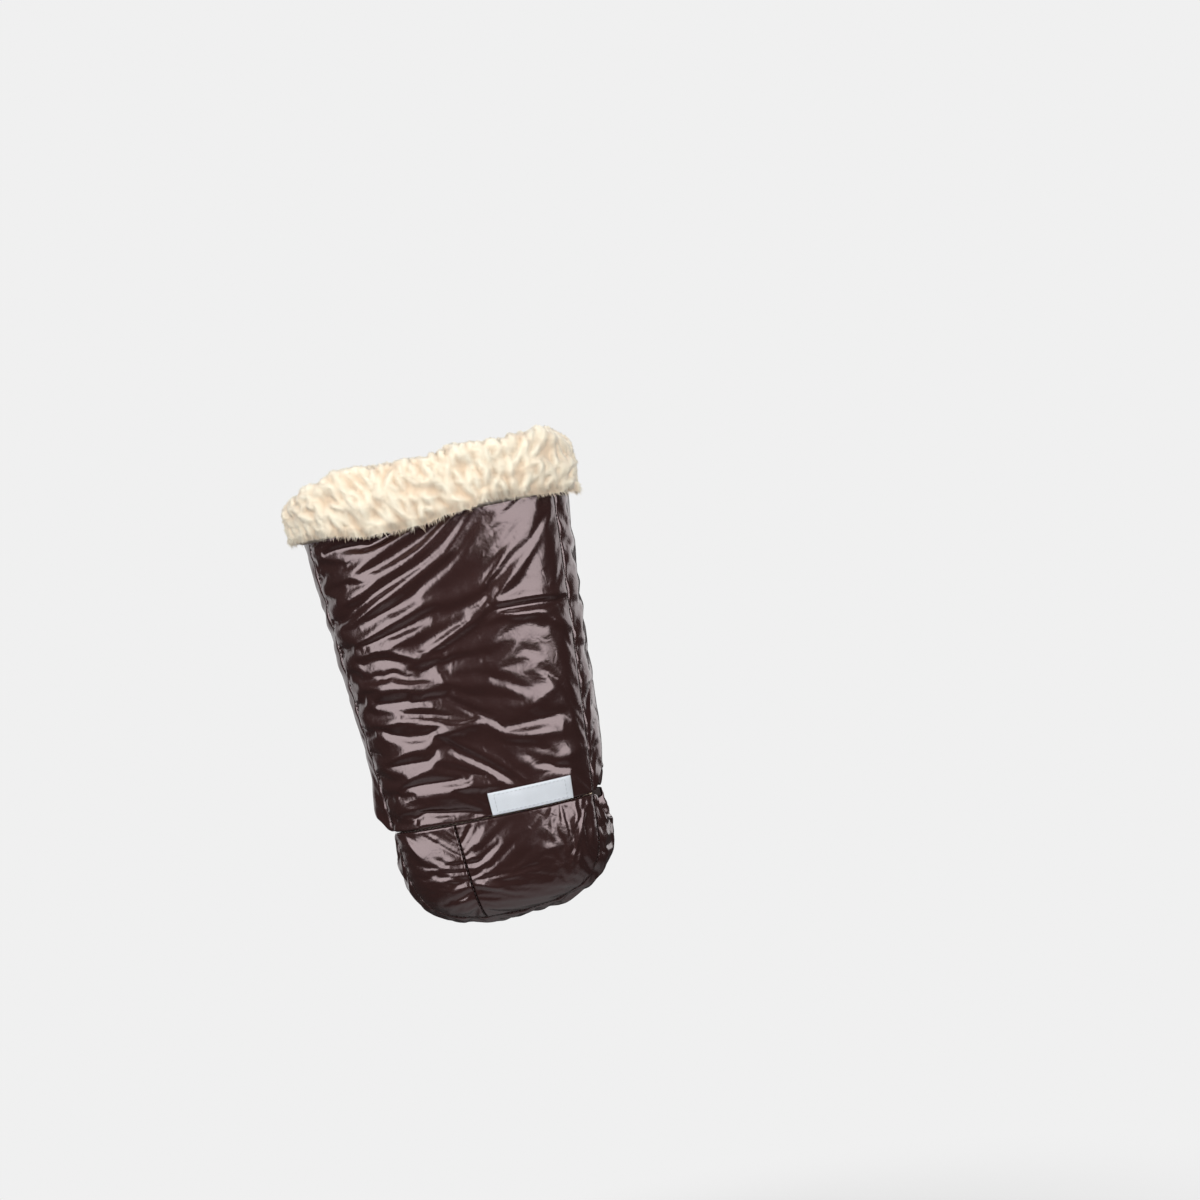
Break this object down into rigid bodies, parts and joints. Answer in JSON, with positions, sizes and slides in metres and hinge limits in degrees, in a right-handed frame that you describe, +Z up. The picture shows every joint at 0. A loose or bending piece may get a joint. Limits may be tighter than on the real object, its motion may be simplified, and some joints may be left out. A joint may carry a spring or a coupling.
{
  "type": "hand warmer muff",
  "caption": "Padded hand warmer muff with a plush cuff over its mouth and a lined pouch that swings on the waist seam, wraps under a push bar and closes at the back with a hook and loop tab.",
  "frame": {"origin": "middle of the bar that the muff hangs on, halfway between the two side openings", "axes": "+X along the bar to the right as seen from the front, -Y to the front (label side), +Z up the sleeve to its mouth"},
  "size_m": [0.2018, 0.1224, 0.319],
  "materials": {
    "shell": "glossy coated nylon, dark brown",
    "batting": "polyester batting, white",
    "plush": "long pile plush, cream",
    "facing": "matte woven tape, dark brown",
    "thread": "polyester sewing thread, dark brown",
    "tape": "hook and loop tape, black brown",
    "label": "woven damask, pale blue white, bare"
  },
  "bodies": {
    "sleeve": {"front_shell": "shell", "back_shell": "shell", "front_batting": "batting", "back_batting": "batting", "front_lining": "plush", "back_lining": "plush", "back_facing": "facing", "cuff": "plush", "label": "label", "loop_tape": "tape", "left_side_thread": "thread", "right_side_thread": "thread", "waist_thread": "thread", "cuff_thread": "thread"},
    "pouch": {"pouch_left_panel": "shell", "pouch_right_panel": "shell", "pouch_wrap_shell": "shell", "pouch_front_batting": "batting", "pouch_wrap_batting": "batting", "pouch_front_lining": "plush", "pouch_wrap_lining": "plush", "pouch_facing": "facing", "rim_thread": "thread", "panel_thread": "thread", "tab_root": "shell"},
    "tab": {"closing_tab": "shell", "hook_tape": "tape"}
  },
  "joints": [
    {"name": "pouch_swing", "type": "hinge", "parent": "sleeve", "child": "pouch", "pos_m": [0, -0.04632, 0.004], "axis": [-1, 0, 0], "range_deg": [0, 100]},
    {"name": "tab_peel", "type": "hinge", "parent": "pouch", "child": "tab", "pos_m": [0, 0.04989, 0.00345], "axis": [-1, 0, 0], "range_deg": [0, 110]}
  ]
}
